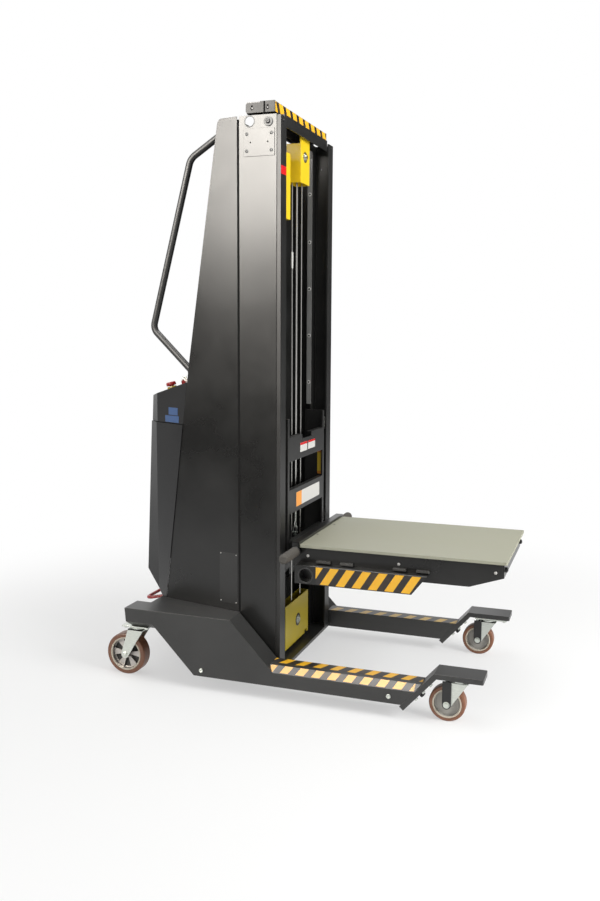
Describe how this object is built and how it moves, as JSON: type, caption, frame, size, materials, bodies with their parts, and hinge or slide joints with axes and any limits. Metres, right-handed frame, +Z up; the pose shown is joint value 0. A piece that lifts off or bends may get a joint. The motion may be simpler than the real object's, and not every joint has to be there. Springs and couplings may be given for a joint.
{
  "type": "server lift trolley",
  "caption": "Straddle lift trolley with a rope-hoisted flat platform on a covered mast, two legs on swivel casters, a rear console and push handles.",
  "frame": {"origin": "on the floor, under the middle of the whole trolley", "axes": "+Z up, +X towards the platform, +Y to the left as seen from the push handles"},
  "size_m": [1.489, 0.817, 2.088],
  "materials": {
    "black_paint": "satin powder coat",
    "yellow_paint": "gloss paint",
    "hazard_stripes": "yellow and black striped tape",
    "grey_paint": "satin",
    "deck_grey": "fine textured mat",
    "zinc": "zinc plated",
    "bright_steel": "machined",
    "wire_rope": "stranded wire",
    "cast_hub": "cast",
    "hub_grey": "moulded",
    "brown_tyre": "polyurethane tread",
    "black_tyre": "rubber tread",
    "grip_rubber": "moulded grip",
    "roller_nylon": "turned nylon",
    "red_plastic": "gloss",
    "black_plastic": "satin",
    "battery_case": "moulded case",
    "red_paint": "gloss paint"
  },
  "bodies": {
    "chassis": {"right_leg": "black_paint", "left_leg": "black_paint", "toes": "black_paint", "mast_rails": "black_paint", "column_panels": "black_paint", "rear_panels": "black_paint", "push_handles": "black_paint", "base_tray": "black_paint", "mast_back_panel": "black_paint", "head_beam": "black_paint", "mast_cap": "hazard_stripes", "cap_ends": "grey_paint", "back_cover": "black_paint", "console_housing": "black_plastic", "battery_cover": "black_plastic", "cover_plates": "grey_paint", "battery_pack": "battery_case", "winch_motor": "black_paint", "top_pulley_guard": "yellow_paint", "bottom_pulley_guard": "yellow_paint", "switch_cover": "yellow_paint", "hoist_rope": "wire_rope", "rope_fall": "wire_rope", "control_panel": "black_plastic", "caster_plates": "zinc", "zinc_fasteners": "zinc", "black_fasteners": "black_plastic"},
    "carriage": {"carriage_frame": "black_paint", "load_arms": "black_paint", "rope_eye": "zinc", "platform_frame": "black_paint", "rear_bar": "black_paint", "platform_top": "deck_grey", "side_guards": "hazard_stripes", "guard_tabs": "zinc", "grips": "grip_rubber", "platform_screws": "black_plastic", "roller_pins": "bright_steel"},
    "upper_guide_rollers": {"upper_rollers": "roller_nylon"},
    "lower_guide_rollers": {"lower_rollers": "roller_nylon"},
    "lift_sheave": {"lift_pulley": "bright_steel"},
    "transfer_sheave": {"transfer_pulley": "bright_steel"},
    "bottom_sheave": {"bottom_pulley": "bright_steel"},
    "drum": {"winch_drum": "bright_steel"},
    "foot_brake": {"brake_pedal": "red_paint"},
    "emergency_stop": {"stop_button": "red_plastic"},
    "key": {"panel_key": "zinc"},
    "lever": {"control_lever": "black_plastic"},
    "front_right_swivel": {"front_right_fork": "zinc"},
    "front_right_wheel": {"front_right_hub": "hub_grey", "front_right_tyre": "brown_tyre"},
    "front_left_swivel": {"front_left_fork": "zinc"},
    "front_left_wheel": {"front_left_hub": "hub_grey", "front_left_tyre": "brown_tyre"},
    "rear_right_swivel": {"rear_right_fork": "zinc"},
    "rear_right_wheel": {"rear_right_hub": "cast_hub", "rear_right_tyre": "black_tyre"},
    "rear_left_swivel": {"rear_left_fork": "zinc"},
    "rear_left_wheel": {"rear_left_hub": "cast_hub", "rear_left_tyre": "black_tyre"}
  },
  "joints": [
    {"name": "carriage_lift", "type": "slide", "parent": "chassis", "child": "carriage", "axis": [0, 0, 1], "range_m": [-0.24, 1], "deforming": ["rope_fall"]},
    {"name": "upper_roller_turn", "type": "hinge", "parent": "carriage", "child": "upper_guide_rollers", "pos_m": [-0.095, 0, 0.93], "axis": [0, 1, 0], "range_deg": [-480, 1950]},
    {"name": "lower_roller_turn", "type": "hinge", "parent": "carriage", "child": "lower_guide_rollers", "pos_m": [-0.095, 0, 0.545], "axis": [0, 1, 0], "range_deg": [-1950, 480]},
    {"name": "lift_sheave_turn", "type": "hinge", "parent": "chassis", "child": "lift_sheave", "pos_m": [-0.1065, 0.029, 1.952], "axis": [1, 0, 0], "range_deg": [-2000, 500]},
    {"name": "transfer_sheave_turn", "type": "hinge", "parent": "chassis", "child": "transfer_sheave", "pos_m": [-0.1245, 0.029, 1.952], "axis": [1, 0, 0], "range_deg": [-2000, 500]},
    {"name": "bottom_sheave_turn", "type": "hinge", "parent": "chassis", "child": "bottom_sheave", "pos_m": [-0.1065, 0.009, 0.169], "axis": [1, 0, 0], "range_deg": [-1200, 300]},
    {"name": "drum_turn", "type": "hinge", "parent": "chassis", "child": "drum", "pos_m": [-0.1665, 0.066, 0.4], "axis": [0, 1, 0], "range_deg": [-350, 1400]},
    {"name": "brake_press", "type": "hinge", "parent": "chassis", "child": "foot_brake", "pos_m": [-0.5595, 0, 0.258], "axis": [0, 1, 0], "range_deg": [-12, 0], "stiffness_Nm_per_rad": 4, "springref_deg": 20.05},
    {"name": "stop_press", "type": "slide", "parent": "chassis", "child": "emergency_stop", "axis": [-0.2874, 0, 0.9578], "range_m": [-0.004, 0], "stiffness_N_per_m": 600, "springref_m": 0.002},
    {"name": "key_turn", "type": "hinge", "parent": "chassis", "child": "key", "pos_m": [-0.5255, -0.096, 1.0933], "axis": [-0.2874, 0, 0.9578], "range_deg": [0, 90]},
    {"name": "lever_tilt", "type": "hinge", "parent": "chassis", "child": "lever", "pos_m": [-0.52846, -0.02, 1.10317], "axis": [0, 1, 0], "range_deg": [-15, 15], "stiffness_Nm_per_rad": 0.6},
    {"name": "front_right_swivel_turn", "type": "hinge", "parent": "chassis", "child": "front_right_swivel", "pos_m": [0.6115, -0.345, 0.0625], "axis": [0, 0, 1], "continuous": true},
    {"name": "front_right_wheel_roll", "type": "hinge", "parent": "front_right_swivel", "child": "front_right_wheel", "pos_m": [0.5715, -0.345, 0.0625], "axis": [0, 1, 0], "continuous": true},
    {"name": "front_left_swivel_turn", "type": "hinge", "parent": "chassis", "child": "front_left_swivel", "pos_m": [0.6115, 0.345, 0.0625], "axis": [0, 0, 1], "continuous": true},
    {"name": "front_left_wheel_roll", "type": "hinge", "parent": "front_left_swivel", "child": "front_left_wheel", "pos_m": [0.5715, 0.345, 0.0625], "axis": [0, 1, 0], "continuous": true},
    {"name": "rear_right_swivel_turn", "type": "hinge", "parent": "chassis", "child": "rear_right_swivel", "pos_m": [-0.6165, -0.334, 0.08], "axis": [0, 0, 1], "continuous": true},
    {"name": "rear_right_wheel_roll", "type": "hinge", "parent": "rear_right_swivel", "child": "rear_right_wheel", "pos_m": [-0.6645, -0.334, 0.08], "axis": [0, 1, 0], "continuous": true},
    {"name": "rear_left_swivel_turn", "type": "hinge", "parent": "chassis", "child": "rear_left_swivel", "pos_m": [-0.6165, 0.334, 0.08], "axis": [0, 0, 1], "continuous": true},
    {"name": "rear_left_wheel_roll", "type": "hinge", "parent": "rear_left_swivel", "child": "rear_left_wheel", "pos_m": [-0.6645, 0.334, 0.08], "axis": [0, 1, 0], "continuous": true}
  ],
  "couplings": [
    {"joint": "upper_roller_turn", "follows": "carriage_lift", "rad_per_m": 33.333},
    {"joint": "lower_roller_turn", "follows": "carriage_lift", "rad_per_m": -33.333},
    {"joint": "lift_sheave_turn", "follows": "carriage_lift", "rad_per_m": -34.483},
    {"joint": "transfer_sheave_turn", "follows": "carriage_lift", "rad_per_m": -34.483},
    {"joint": "bottom_sheave_turn", "follows": "carriage_lift", "rad_per_m": -20.408},
    {"joint": "drum_turn", "follows": "carriage_lift", "rad_per_m": 23.81}
  ]
}
